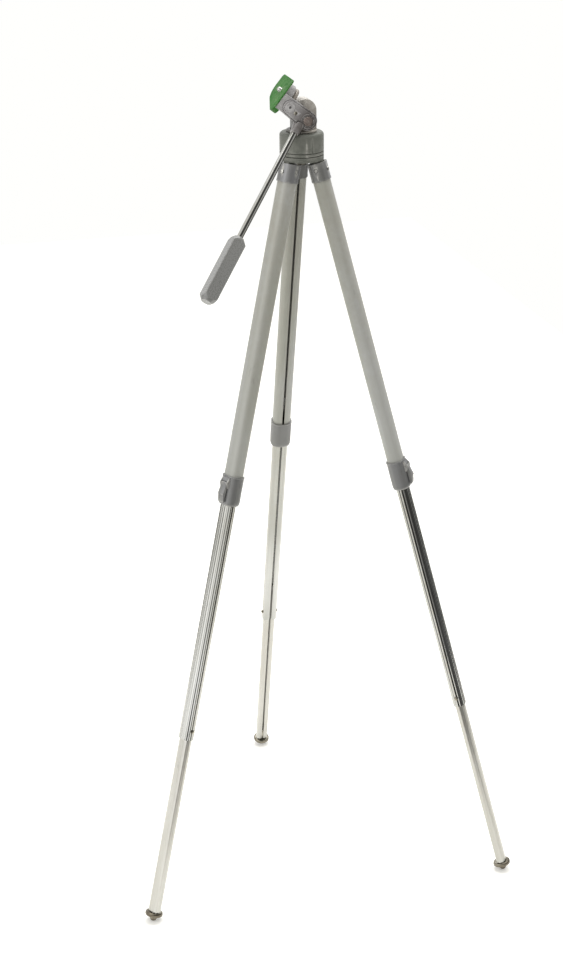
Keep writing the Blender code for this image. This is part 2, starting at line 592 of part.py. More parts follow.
def centre_footprint(root):
    """Move the tripod so that the middle of its lowest box face is the origin."""
    bpy.context.view_layer.update()
    depsgraph = bpy.context.evaluated_depsgraph_get()
    points = []
    for part in bpy.context.scene.objects:
        if part.type == "MESH" and not part.hide_render:
            mesh = part.evaluated_get(depsgraph).to_mesh()
            points += [part.matrix_world @ vert.co for vert in mesh.vertices]
    for i in (0, 1):
        values = [point[i] for point in points]
        root.location[i] -= (min(values) + max(values)) / 2
    root.location[2] -= min(point[2] for point in points)


def main():
    clear_scene()
    make_materials()
    root = empty("tripod")
    pan = empty("pan_axis", root)
    tilt = empty("tilt_axis", pan, (PIVOT[0], 0, PIVOT[1]), (0, -TILT_LEAN, 0))
    screw = empty("screw_axis", tilt, (*SCREW_AXIS, 0))
    handle = empty("handle_axis", tilt, HANDLE_START)
    turn = Matrix.Rotation(math.radians(HANDLE_SPLAY), 4, "Z") @ Matrix.Rotation(math.radians(-90), 4, "Y")
    handle.rotation_euler = turn.to_euler()
    pin_tools = [make_leg(name, azimuth, root) for name, azimuth in LEGS.items()]
    make_crown(root, pin_tools)
    make_hub(root, pan)
    make_post(pan)
    screw_tool = make_arm(tilt, handle)
    make_pivot(tilt)
    make_platform(tilt, screw, screw_tool)
    make_handle(handle)
    centre_footprint(root)


main()
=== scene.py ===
"""The visual model of a light metal tripod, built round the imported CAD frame.

Sizes are in millimetres, in the same local axes as the CAD: the hub's, the tilting arm's, the pan
handle's and each leg's own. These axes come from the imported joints.
"""
import json
import math

import bmesh
import bpy
from mathutils import Matrix, Vector


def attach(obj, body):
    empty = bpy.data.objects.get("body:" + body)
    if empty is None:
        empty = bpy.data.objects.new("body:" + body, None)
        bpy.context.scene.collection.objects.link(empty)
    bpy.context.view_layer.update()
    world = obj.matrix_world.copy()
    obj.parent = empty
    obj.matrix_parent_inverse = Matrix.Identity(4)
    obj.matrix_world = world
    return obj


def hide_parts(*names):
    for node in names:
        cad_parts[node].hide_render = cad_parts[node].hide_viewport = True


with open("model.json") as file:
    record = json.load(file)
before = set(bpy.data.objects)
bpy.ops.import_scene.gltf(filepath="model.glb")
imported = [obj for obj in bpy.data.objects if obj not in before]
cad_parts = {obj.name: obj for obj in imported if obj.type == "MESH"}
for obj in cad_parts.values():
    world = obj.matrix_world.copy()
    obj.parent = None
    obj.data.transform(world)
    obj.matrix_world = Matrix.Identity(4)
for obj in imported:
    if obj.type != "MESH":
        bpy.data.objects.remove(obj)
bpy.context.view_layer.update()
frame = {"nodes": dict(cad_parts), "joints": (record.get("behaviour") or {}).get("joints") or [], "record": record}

MM = 0.001
GAP = 0.3                      # clearance between pieces that fit together
THROUGH = 30.0                 # half the length of a tool that cuts right through

# A pair of numbers without a note is a piece's two ends along its axis.

# Legs: distances down a leg are measured from its hinge pin.
LEGS = ("rear", "left", "right")
PIN_RADIUS = 2.5
HINGE_HEIGHT = 1006.0
LUG = (5.6, 5.0)               # half its depth and half its width
UPPER = {"depth": 21.5, "width": 25.0, "wall": 1.2, "slot": 3.0, "flutes": 0, "flute_depth": 0.0}
MIDDLE = {"depth": 17.0, "width": 21.5, "wall": 1.2, "slot": 3.0, "flutes": 16, "flute_depth": 0.45}
LOWER = {"depth": 13.0, "width": 18.0, "wall": 1.0, "slot": 2.5, "flutes": 12, "flute_depth": 0.4}
SQUARENESS = 2.6
UPPER_ENDS = (-8.5, 436.0)
MIDDLE_ENDS = (370.0, 774.0)
LOWER_ENDS = (714.0, 1028.0)
CAP = {"depth": 24.0, "width": 27.5, "top": -8.7, "bottom": 15.0}
RIVET_DOWN = 2.0
RIVET_RADIUS = 1.7
RIVET_HEAD = (2.8, 1.3)        # radius and height
COLLAR = {"depth": 24.5, "width": 28.5, "top": 404.0, "bottom": 444.0, "rim": 0.4, "taper": 6.0}
LEVER_PIN = (14.4, 414.0)      # out from the leg's axis, and down it
LEVER_PIN_RADIUS = 0.9
LEVER_WIDTH = 10.0
LEVER_END = 440.0
BUTTON_DOWN = 761.0
BUTTON_RADIUS = 2.4
FOOT_RADIUS = 12.0
FOOT_THICKNESS = 5.7
TIP_RADIUS = 5.0
LEG_LEAN = 15.23               # degrees from upright
LEG_LENGTH = (HINGE_HEIGHT - TIP_RADIUS) / math.cos(math.radians(LEG_LEAN)) + TIP_RADIUS

# Hub and head.
HUB_RADIUS = 28.5
CROWN = (1017.5, 1024.0)
GROOVE = 0.9
RING = (1024.3, 1029.4)
HOUSING = (1029.7, 1054.0)
HOUSING_ROUND = 4.5
PAN_BORE = 5.3
PAN_BORE_TOP = 1062.0
POST_THICKNESS = 20.0
POST_RADIUS = 15.2
POST_CENTRE = 1081.0
FLANGE_RADIUS = 20.0
FLANGE = (1054.3, 1057.2)
PIVOT = (2.3, 1070.5)          # to the right of the hub's axis, and its height
PIVOT_BORE = 4.3
SPACER = (10.3, 16.7)
ARM = (-17.0, -24.0)
COVER = (24.3, 25.3)
ARM_END_RADIUS = 12.3
ARM_END_ARC = (175, 365)       # degrees
ARM_HALF_WIDTH = 10.75
PLATFORM_TOP = 47.0
PLATFORM_THICKNESS = 1.5
PLATFORM_LIP = 8.0
# Corners as x, y and radius, and places as x and y, on the arm's own axes.
PLATFORM_CORNERS = ((29.2, -24.8, 4.5), (-21.0, -24.8, 8.0), (-1.7, 28.5, 20.0), (29.5, 27.5, 5.0))
POCKET_CORNERS = ((27.6, -23.2, 3.0), (-18.7, -23.2, 6.4), (-0.6, 26.9, 18.4), (27.6, 25.9, 3.5))
PAD = (33.5, 45.2)
PAD_RADIUS = 15.0
BRIDGE_BOTTOM = 40.0
PLATFORM_SCREWS = ((-8.2, -3.5), (-8.2, -11.5))
PLATFORM_SCREW_HOLE = 1.8
SCREW_AXIS = (10.0, -2.5)
SCREW_TIP = 4.0
KNOB_RADIUS = 14.0
KNOB = (26.8, 31.0)
COVER_END = (30.0, 8.6)        # up the arm, and its radius
COVER_SCREW = (-1.5, 19.5)     # across the arm and up it
COVER_SCREW_HOLE = 1.5
COVER_END_HOLE = 1.8
COVER_WINDOW = 6.4             # round the tilt bolt's head
COVER_RINGS = ((8.3, 9.3), (6.5, 7.2))
COVER_INSET = 2.2
COVER_SUNK = 0.9               # its depth in the arm, and the width of the groove round it
QUARTER_INCH = 3.175
THREAD_PITCH = 1.27
BOSS_LENGTH = 16.0
BOSS_CLEARANCE = 7.6 + GAP
ROD_RADIUS = 4.0
ROD_START = 4.0
ROD_LENGTH = 208.0
GRIP = (177.0, 272.0)
GRIP_SIDE = 18.6
GRIP_END_RADIUS = 6.6
GRIP_END_SLOPE = 0.8

# Stage, in metres, and the photograph's viewpoint, found from the feet and hinges.
FLOOR_ACROSS = (-2.2, 1.3)
FLOOR_ALONG = (-0.62, 3.6)
FLOOR_HEIGHT = -0.0002
LIGHTS = {                     # place, aim, size in metres, power in watts
    "overhead": ((0.4, 0.6, 3.2), (0, 0, 0.4), 2.6, 60),
    "left": ((-2.6, -0.6, 1.9), (0, 0, 0.7), 1.6, 13),
    "right": ((2.4, -1.0, 1.5), (0, 0, 0.7), 1.6, 5),
}
CAMERA_PLACE = (-0.5823, -2.3931, 1.5197)
CAMERA_TURN = (13.36, 21.58, -0.62)      # yaw, pitch down and roll
CAMERA_LENS = 70.18
SENSOR_WIDTH = 36.0

SEGMENTS = 96                  # round a turned piece
SHARP = math.radians(34)       # steeper edges than this stay crisp
ACROSS = Matrix.Rotation(math.pi / 2, 4, "X")      # turns a lathed piece's Z to the local -Y


# ---------------------------------------------------------------- local axes

JOINTS = {joint["name"]: joint for joint in frame["joints"]}


def axes(origin, y, z):
    """A frame with the given origin and its Y and Z directions."""
    y, z = Vector(y).normalized(), Vector(z).normalized()
    turned = Matrix((y.cross(z), y, z)).transposed().to_4x4()
    turned.translation = Vector(origin)
    return turned


def at(x, y, z, rotation=None):
    """A place in local millimetres, with a rotation if one is given."""
    place = Matrix.Translation(Vector((x, y, z)) * MM)
    return place @ rotation if rotation else place


hub_axis = JOINTS["pan"]["pos_m"]
HUB = Matrix.Translation((hub_axis[0], hub_axis[1], 0))
TILT = axes(JOINTS["tilt"]["pos_m"], (0, 1, 0), JOINTS["camera_screw_turn"]["axis"])
arm_direction = TILT.to_3x3().col[2]
handle_direction = Vector(JOINTS["handle_twist"]["axis"])
HANDLE = axes(JOINTS["handle_twist"]["pos_m"], handle_direction.cross(arm_direction),
              handle_direction)
LEG_AXES = {leg: axes(JOINTS[f"{leg}_leg_fold"]["pos_m"], JOINTS[f"{leg}_leg_fold"]["axis"],
                      JOINTS[f"{leg}_middle_slide"]["axis"]) for leg in LEGS}


# ---------------------------------------------------------------- materials

def node(tree, kind, inputs=(), **settings):
    """Add a node, with its settings and its inputs by name or number."""
    made = tree.nodes.new(kind)
    for key, value in settings.items():
        setattr(made, key, value)
    for key, value in dict(inputs).items():
        if isinstance(value, bpy.types.NodeSocket):
            tree.links.new(value, made.inputs[key])
        else:
            made.inputs[key].default_value = value
    return made


def ramp(tree, factor, stops):
    """A colour ramp of (position, grey or colour) stops."""
    made = node(tree, "ShaderNodeValToRGB", {"Fac": factor})
    band = made.color_ramp
    while len(band.elements) < len(stops):
        band.elements.new(1.0)
    for element, (position, value) in zip(band.elements, stops):
        element.position = position
        element.color = (value, value, value, 1) if isinstance(value, (int, float)) else (*value, 1)
    return made.outputs["Color"]


def mix(tree, factor, first, second, blend="MIX"):
    """Mix two colours."""
    made = node(tree, "ShaderNodeMix", data_type="RGBA", blend_type=blend)
    for index, value in ((0, factor), (6, first), (7, second)):
        if isinstance(value, bpy.types.NodeSocket):
            tree.links.new(value, made.inputs[index])
        elif isinstance(value, tuple):
            made.inputs[index].default_value = (*value, 1)
        else:
            made.inputs[index].default_value = value
    return made.outputs[2]


def noise(tree, coordinates, scale, stretch=(1, 1, 1), detail=3.0, rough=0.55):
    """Noise over an object's own coordinates, stretched along its axes."""
    mapped = node(tree, "ShaderNodeMapping", {"Vector": coordinates, "Scale": stretch})
    return node(tree, "ShaderNodeTexNoise",
                {"Vector": mapped.outputs[0], "Scale": scale, "Detail": detail,
                 "Roughness": rough}).outputs["Fac"]


def make_finish(name, colour, shade, worn_and_highlight, rough, metallic, stretch, grain, mottle=14.0, edge_wear_and_highlight=0.5,
                dirt=0.3,
                bump=0.15, specular=0.5, low=None):
    """A worn metal, paint or plastic.

    colour and shade are the two ends of its mottling, the worn colour shows on its edges and in small
    chips (on the collar metal its light edges are also a painted highlight on lit rims), rough is
    (lowest, highest), stretch and grain set its brush marks or texture. low is (colour, axis, start,
    end): a painted shade colour that it starts from along one axis, fading into the finish from start
    to end.
    """
    material = bpy.data.materials.new(name)
    material.use_nodes = True
    tree = material.node_tree
    shader = tree.nodes["Principled BSDF"]
    shader.inputs["Metallic"].default_value = metallic
    shader.inputs["Specular IOR Level"].default_value = specular
    coordinates = node(tree, "ShaderNodeTexCoord").outputs["Object"]
    broad = noise(tree, coordinates, mottle, (1, 1, 0.25))
    marks = noise(tree, coordinates, grain, stretch, 4.0, 0.6)
    fine = noise(tree, coordinates, 900.0, (1, 1, 0.6), 2.0)
    body = mix(tree, ramp(tree, broad, ((0.36, 0.0), (0.64, 1.0))), colour, shade)
    body = mix(tree, ramp(tree, marks, ((0.40, 0.0), (0.68, 0.45))), body, shade)
    # painted shade: a dark colour laid over the finish along one of the object's axes
    if low:
        first, axis, start, end = low
        along = node(tree, "ShaderNodeSeparateXYZ", {"Vector": coordinates}).outputs[axis]
        share = node(tree, "ShaderNodeMapRange",
                     {"Value": along, "From Min": start, "From Max": end}).outputs[0]
        body = mix(tree, share, first, body)
    grime = tuple(0.45 * value for value in shade)
    spots = noise(tree, coordinates, 75.0, (1, 1, 0.35), 5.0, 0.7)
    body = mix(tree, ramp(tree, spots, ((0.63, 0.0), (0.72, dirt))), body, grime)
    # Light edges and chips: worn paint, and on the collar metal also a painted highlight on lit rims
    edges = node(tree, "ShaderNodeNewGeometry").outputs["Pointiness"]
    worn_and_lit_edges = ramp(tree, edges, ((0.515, 0.0), (0.56, edge_wear_and_highlight)))
    broken = ramp(tree, noise(tree, coordinates, 130.0, (1, 1, 1), 4.0), ((0.35, 0.0), (0.6, 1.0)))
    body = mix(tree, mix(tree, 1.0, worn_and_lit_edges, broken, "MULTIPLY"), body, worn_and_highlight)
    tree.links.new(body, shader.inputs["Base Color"])
    shine = node(tree, "ShaderNodeMapRange", {"Value": marks, "From Min": 0.3, "From Max": 0.7,
                                              "To Min": rough[0], "To Max": rough[1]})
    tree.links.new(shine.outputs[0], shader.inputs["Roughness"])
    height = mix(tree, 0.5, marks, fine)
    relief = node(tree, "ShaderNodeBump", {"Height": height, "Strength": bump, "Distance": 0.0004})
    tree.links.new(relief.outputs[0], shader.inputs["Normal"])
    return material


ALONG = (1.0, 1.0, 0.02)       # brush marks along a piece's Z
EVEN = (1.0, 1.0, 1.0)
ROUND = (0.05, 0.05, 1.0)      # turning marks round a piece's Z

FINISHES = {
    "leg_enamel": make_finish("leg_enamel", (0.445, 0.45, 0.435), (0.36, 0.36, 0.315),
                              (0.33, 0.31, 0.26), (0.38, 0.55), 0.15, ALONG, 160.0, edge_wear_and_highlight=0.5,
                              dirt=0.35, bump=0.10),
    "hub_enamel": make_finish("hub_enamel", (0.185, 0.19, 0.165), (0.125, 0.13, 0.11),
                              (0.46, 0.45, 0.41), (0.46, 0.6), 0.10, EVEN, 320.0, edge_wear_and_highlight=0.75,
                              dirt=0.4, bump=0.16),
    # painted highlight: its strong light edges stand both for wear and for the lit top rims of caps and collars
    "collar_metal": make_finish("collar_metal", (0.26, 0.26, 0.27), (0.20, 0.20, 0.19),
                                (0.55, 0.54, 0.50), (0.32, 0.48), 0.45, ALONG, 190.0, edge_wear_and_highlight=0.8,
                                dirt=0.35, bump=0.12),
    "chrome": make_finish("chrome", (0.56, 0.56, 0.54), (0.36, 0.36, 0.33), (0.36, 0.32, 0.25),
                          (0.05, 0.16), 1.0, ALONG, 260.0, edge_wear_and_highlight=0.3, dirt=0.35, bump=0.05),
    "nickel": make_finish("nickel", (0.60, 0.595, 0.56), (0.47, 0.46, 0.42), (0.38, 0.34, 0.27),
                          (0.26, 0.40), 1.0, ALONG, 240.0, edge_wear_and_highlight=0.3, dirt=0.4, bump=0.08),
    "cast_metal": make_finish("cast_metal", (0.47, 0.455, 0.45), (0.40, 0.385, 0.385),
                              (0.72, 0.71, 0.70), (0.30, 0.46), 0.35, EVEN, 420.0, mottle=40.0,
                              edge_wear_and_highlight=0.9, dirt=0.5, bump=0.15,
                              # painted shade: on pieces set on the tilt axes, the low colour darkens the arm's
                              # end, the handle boss and the cover round the pivot, fully below 5 mm up the arm and
                              # fading out by 24 mm
                              low=((0.13, 0.115, 0.108), "Z", 0.005, 0.024)),
    "green_enamel": make_finish("green_enamel", (0.022, 0.150, 0.012), (0.016, 0.115, 0.010),
                                (0.16, 0.26, 0.12), (0.50, 0.65), 0.0, EVEN, 380.0, mottle=45.0,
                                edge_wear_and_highlight=0.6, dirt=0.35, bump=0.12, specular=0.15),
    "grip_plastic": make_finish("grip_plastic", (0.215, 0.215, 0.207), (0.18, 0.18, 0.172),
                                (0.50, 0.50, 0.48), (0.22, 0.34), 0.0, EVEN, 520.0, edge_wear_and_highlight=0.5,
                                dirt=0.3, bump=0.10, specular=1.0),
    "dark_nickel": make_finish("dark_nickel", (0.27, 0.25, 0.20), (0.14, 0.12, 0.09),
                               (0.58, 0.55, 0.46), (0.22, 0.42), 1.0, ROUND, 260.0, mottle=60.0,
                               edge_wear_and_highlight=0.8, dirt=0.6, bump=0.12),
}
LOOKS = {                      # pieces that look a little different from the rest of their slot
    # painted shade: the post and its flange go dark towards the left, fully 7 mm left of the hub's axis and fading
    # out 3 mm right of it, as if shaded by the arm and handle boss
    "head_body": make_finish("post_casting_painted_shade", (0.46, 0.43, 0.385), (0.39, 0.36, 0.32),
                             (0.66, 0.63, 0.58), (0.34, 0.5), 0.3, EVEN, 420.0, mottle=40.0,
                             edge_wear_and_highlight=0.8, dirt=0.5, bump=0.15,
                             low=((0.13, 0.125, 0.115), "X", -0.007, 0.003)),
    "tilt_bolt": make_finish("bolt_head", (0.36, 0.30, 0.27), (0.25, 0.20, 0.175),
                             (0.55, 0.50, 0.46), (0.34, 0.5), 0.7, ROUND, 260.0, mottle=60.0,
                             edge_wear_and_highlight=0.7, dirt=0.5, bump=0.12),
    "camera_knob": make_finish("knob_plate", (0.66, 0.62, 0.57), (0.50, 0.46, 0.41),
                               (0.45, 0.40, 0.34), (0.36, 0.5), 0.6, ALONG, 240.0, edge_wear_and_highlight=0.4,
                               dirt=0.4, bump=0.08),
}
SLOTS = {part["node"]: part["material_slot"] for part in frame["record"]["subparts"]}


# ---------------------------------------------------------------- shapes, in millimetres

def loft(loops, wrap=False):
    """Skin a row of loops of points; a loop of one point is a pole. A wrapped row is a ring."""
    shape = bmesh.new()
    rows = [[shape.verts.new(point) for point in loop] for loop in loops]
    for row, following in zip(rows, rows[1:] + rows[:1] if wrap else rows[1:]):
        count = max(len(row), len(following))
        for i in range(count):
            j = (i + 1) % count
            corners = [row[i % len(row)], row[j % len(row)],
                       following[j % len(following)], following[i % len(following)]]
            shape.faces.new(dict.fromkeys(corners))
    if not wrap:
        for row in (rows[0], rows[-1]):
            if len(row) > 2:
                shape.faces.new(row)
    return shape


def circle_loop(radius, height, points=SEGMENTS):
    """A circle of points at a height, or one point where the radius is nothing."""
    if radius < 1e-6:
        return [(0, 0, height)]
    return [(radius * math.cos(2 * math.pi * i / points),
             radius * math.sin(2 * math.pi * i / points), height) for i in range(points)]


def lathe(profile, wrap=False, segments=SEGMENTS):
    """Turn a profile of (radius, height) points round Z."""
    return loft([circle_loop(radius, height, segments) for radius, height in profile], wrap)


def cylinder(radius, low, high, segments=48):
    """A round bar along Z."""
    return lathe([(radius, low), (radius, high)], segments=segments)


def box(low, high):
    """A block between two corners."""
    (x0, y0, z0), (x1, y1, z1) = low, high
    return plate([(x0, y0), (x1, y0), (x1, y1), (x0, y1)], z0, z1)


def slab(outline, low, high):
    """Extrude an outline of (x, z) points along Y."""
    return loft([[(x, y, z) for x, z in outline] for y in (low, high)])


def plate(outline, low, high):
    """Extrude an outline of (x, y) points along Z."""
    return loft([[(x, y, z) for x, y in outline] for z in (low, high)])


def arc(centre, radius, start, end, steps):
    """Points of a circular arc, angles in degrees."""
    angles = [math.radians(start + (end - start) * i / steps) for i in range(steps + 1)]
    return [(centre[0] + radius * math.cos(a), centre[1] + radius * math.sin(a)) for a in angles]


def rounded(corners, steps=14):
    """Round an outline's corners, each given as (x, y, radius)."""
    outline = []
    for i, (x, y, radius) in enumerate(corners):
        here = Vector((x, y))
        back = (Vector(corners[i - 1][:2]) - here).normalized()
        ahead = (Vector(corners[(i + 1) % len(corners)][:2]) - here).normalized()
        half = math.acos(max(-1.0, min(1.0, back.dot(ahead)))) / 2
        start = here + back * radius / math.tan(half)
        end = here + ahead * radius / math.tan(half)
        middle = here + (back + ahead).normalized() * radius / math.sin(half)
        for k in range(steps + 1):
            direction = ((start - middle) * (1 - k / steps) + (end - middle) * k
                         / steps).normalized()
            outline.append(tuple(middle + direction * radius))
    return outline


def section_radius(angle, depth, width, flutes=0, flute_depth=0.0):
    """Radius of the rounded leg section in a direction, with crests and flutes round it."""
    along = abs(math.cos(angle)) / (depth / 2)
    across = abs(math.sin(angle)) / (width / 2)
    radius = (along ** SQUARENESS + across ** SQUARENESS) ** (-1 / SQUARENESS)
    return radius - flute_depth * (1 - math.cos(flutes * angle)) / 2


def section_loop(depth, width, height, points=SEGMENTS):
    """A closed loop of the leg section at a height."""
    turns = [2 * math.pi * i / points for i in range(points)]
    radii = [section_radius(angle, depth, width) for angle in turns]
    return [(r * math.cos(a), r * math.sin(a), height) for r, a in zip(radii, turns)]


def channel(section, top, bottom, end_shape=None):
    """A leg tube rolled from strip, open along a slot on its inner side.

    end_shape gives, for an angle round the tube and a share of its last few millimetres, how far
    a point of the end moves up and outwards.
    """
    depth, width, wall = section["depth"], section["width"], section["wall"]
    flutes, flute_depth = section["flutes"], section["flute_depth"]
    steps = flutes * 10 or 110
    outer_end = math.pi - math.atan(section["slot"] / depth)
    inner_end = math.pi - math.atan(section["slot"] / (depth - 2 * wall))
    lip, last = 0.25, 6
    levels = [(-top, -lip), (-top - lip, 0), (-bottom + last, 0), (-bottom + 3, 0),
              (-bottom + 1, 0),
              (-bottom + lip, 0), (-bottom, -lip)]
    loops = []
    for height, inset in levels:
        share = max(0.0, 1 - (height + bottom) / last)
        loop = []
        for i in range(steps + 1):
            angle = outer_end * (2 * i / steps - 1)
            up, out = end_shape(angle, share) if end_shape else (0, 0)
            radius = section_radius(angle, depth, width, flutes, flute_depth) + inset + out
            loop.append((radius * math.cos(angle), radius * math.sin(angle), height + up))
        for i in range(steps + 1):
            angle = inner_end * (1 - 2 * i / steps)
            up, out = end_shape(angle, share) if end_shape else (0, 0)
            radius = section_radius(angle, depth - 2 * wall, width - 2 * wall, flutes,
                                    flute_depth * 0.5) + out
            loop.append((radius * math.cos(angle), radius * math.sin(angle), height + up))
        loops.append(loop)
    return loft(loops)


# ---------------------------------------------------------------- pieces

def add_object(name, data, place):
    """Put an object in the scene."""
    made = bpy.data.objects.new(name, data)
    bpy.context.scene.collection.objects.link(made)
    made.matrix_world = place
    return made


def shape_object(name, shape, place):
    """An object from a bmesh drawn in millimetres."""
    bmesh.ops.recalc_face_normals(shape, faces=shape.faces)
    bmesh.ops.scale(shape, vec=(MM, MM, MM), verts=shape.verts)
    mesh = bpy.data.meshes.new(name)
    shape.to_mesh(mesh)
    shape.free()
    return add_object(name, mesh, place)


def settle(thing):
    """Apply an object's modifiers."""
    bpy.context.view_layer.update()
    depsgraph = bpy.context.evaluated_depsgraph_get()
    mesh = bpy.data.meshes.new_from_object(thing.evaluated_get(depsgraph))
    old, thing.data = thing.data, mesh
    thing.modifiers.clear()
    bpy.data.meshes.remove(old)


def add_bevel(thing, width):
    """A modifier that rounds an object's sharp edges."""
    bevel = thing.modifiers.new("bevel", "BEVEL")
    bevel.limit_method = "ANGLE"
    bevel.angle_limit = SHARP
    bevel.width = width * MM
    bevel.segments = 3
    return bevel


def soften(thing, width):
    """Round an object's sharp edges."""
    add_bevel(thing, width)
    settle(thing)


def tool(shape, place, edge=0.0):
    """A shape that cuts or joins another."""
    made = shape_object("tool", shape, place)
    if edge:
        soften(made, edge)
    return made


def combine(thing, operation, *tools):
    """Cut or join an object with tools, and remove the tools."""
    for part in tools:
        boolean = thing.modifiers.new("boolean", "BOOLEAN")
        boolean.operation = operation
        boolean.solver = "EXACT"
        boolean.object = part
    settle(thing)
    for part in tools:
        bpy.data.objects.remove(part)


def look(cad_node):
    """A node's own material, or else its slot's."""
    return LOOKS.get(cad_node, FINISHES[SLOTS[cad_node]])


def finish_piece(thing, body, cad_node):
    """Smooth a piece, give it its material and say which CAD node it stands for."""
    thing.name = f"{cad_node}_fine"
    mesh = thing.data
    mesh.materials.clear()
    mesh.materials.append(look(cad_node))
    mesh.shade_smooth()
    mesh.set_sharp_from_angle(angle=SHARP)
    normals = thing.modifiers.new("normals", "WEIGHTED_NORMAL")
    normals.keep_sharp = True
    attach(thing, body)
    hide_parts(cad_node)


def make(cad_node, body, shape, place, edge=0.0, joins=(), cuts=()):
    """Build a piece: its shape with rounded edges, joined with and cut by tools."""
    thing = shape_object(cad_node, shape, place)
    if edge:
        soften(thing, edge)
    if joins:
        combine(thing, "UNION", *joins)
    if cuts:
        combine(thing, "DIFFERENCE", *cuts)
    finish_piece(thing, body, cad_node)


def keep(cad_node, edge=0.2):
    """Carry a CAD node over, with its material and rounded edges."""
    thing = frame["nodes"][cad_node]
    for material_slot in thing.material_slots:
        material_slot.material = look(cad_node)
    add_bevel(thing, edge).harden_normals = True


# ---------------------------------------------------------------- hub and head

def make_hub():
    """The crown with its lugs, the ring and the turning housing."""
    low, high = CROWN
    lugs, holes = [], []
    half_depth, half_width = LUG
    outline = [(half_depth, low + 1), (-half_depth, low + 1)]
    outline += arc((0, HINGE_HEIGHT), half_depth, -180, 0, 24)
    for leg in LEGS:
        hinge = LEG_AXES[leg]
        upright = axes((hinge.translation.x, hinge.translation.y, 0), hinge.to_3x3().col[1],
                       (0, 0, 1))
        lugs.append(tool(slab(outline, -half_width, half_width), upright, 0.5))
        holes.append(tool(cylinder(PIN_RADIUS + GAP, -12, 12), hinge @ ACROSS))
    make("crown", "crown", lathe([(PAN_BORE, high), (HUB_RADIUS, high), (HUB_RADIUS, low + 1),
                                  (HUB_RADIUS - 1, low), (PAN_BORE, low)], wrap=True), HUB, 0.25,
         lugs, holes)
    low, high = RING
    band = HUB_RADIUS - 1.5
    make("pan_ring", "crown",
         lathe([(9, high), (band, high), (band, high - GROOVE), (HUB_RADIUS, high - GROOVE),
                (HUB_RADIUS, low + GROOVE), (band, low + GROOVE), (band, low), (9, low)],
               wrap=True), HUB, 0.2)
    low, high = HOUSING
    shoulder = arc((HUB_RADIUS - HOUSING_ROUND, high - HOUSING_ROUND), HOUSING_ROUND, 90, 0, 14)
    mark = tool(box((-0.4, -HUB_RADIUS - 1, low - 1), (0.4, -HUB_RADIUS + 0.5, low + 2.5)),
                HUB @ Matrix.Rotation(math.radians(15), 4, "Z"))
    make("pan_housing", "pan_head",
         lathe([(PAN_BORE, high)] + shoulder + [(HUB_RADIUS, low), (PAN_BORE, low)],
               wrap=True), HUB, 0.35, cuts=[mark])
    keep("pan_bolt")


def make_post():
    """The upright post on its flange, grooved near its front face."""
    low, high = FLANGE
    x, groove_y = PIVOT[0], -POST_THICKNESS / 2 + 4

    def outline(radius):
        """The post's outline, down into the flange."""
        top = arc((x, POST_CENTRE), radius, 0, 180, 40)
        return [(x + radius, high - 1)] + top + [(x - radius, high - 1)]

    edge = 0.8
    levels = [(-POST_THICKNESS / 2, edge), (-POST_THICKNESS / 2 + 0.25, 0.3),
              (-POST_THICKNESS / 2 + edge, 0), (groove_y, 0), (groove_y + 0.2, 1.1),
              (groove_y + 1, 1.1), (groove_y + 1.2, 0), (POST_THICKNESS / 2 - edge, 0),
              (POST_THICKNESS / 2 - 0.25, 0.3), (POST_THICKNESS / 2, edge)]
    post = loft([[(px, y, pz) for px, pz in outline(POST_RADIUS - inset)] for y, inset in levels])
    place = at(PIVOT[0], 0, PIVOT[1], ACROSS)
    make("head_body", "pan_head", lathe([(0, low), (FLANGE_RADIUS, low), (FLANGE_RADIUS, high - 1),
                                         (FLANGE_RADIUS - 1, high), (0, high)]), HUB, 0.5,
         [tool(post, HUB)],
         [tool(cylinder(PIVOT_BORE, -THROUGH, THROUGH), HUB @ place),
          tool(cylinder(PAN_BORE, low - 2, PAN_BORE_TOP), HUB)])


def cover_outline(grow=0.0):
    """The face plate's outline, or the recess round it."""
    middle, radius = COVER_END
    return (arc((0, middle), radius + grow, 0, 180, 32)
            + arc((0, 0), ARM_END_RADIUS - COVER_INSET + grow, *ARM_END_ARC, 32))


def platform_screw_holes(low):
    """Blind holes for the two screws that hold the platform."""
    return [tool(cylinder(PLATFORM_SCREW_HOLE, low - 3, PLATFORM_TOP - 0.5), TILT @ at(x, y, 0))
            for x, y in PLATFORM_SCREWS]


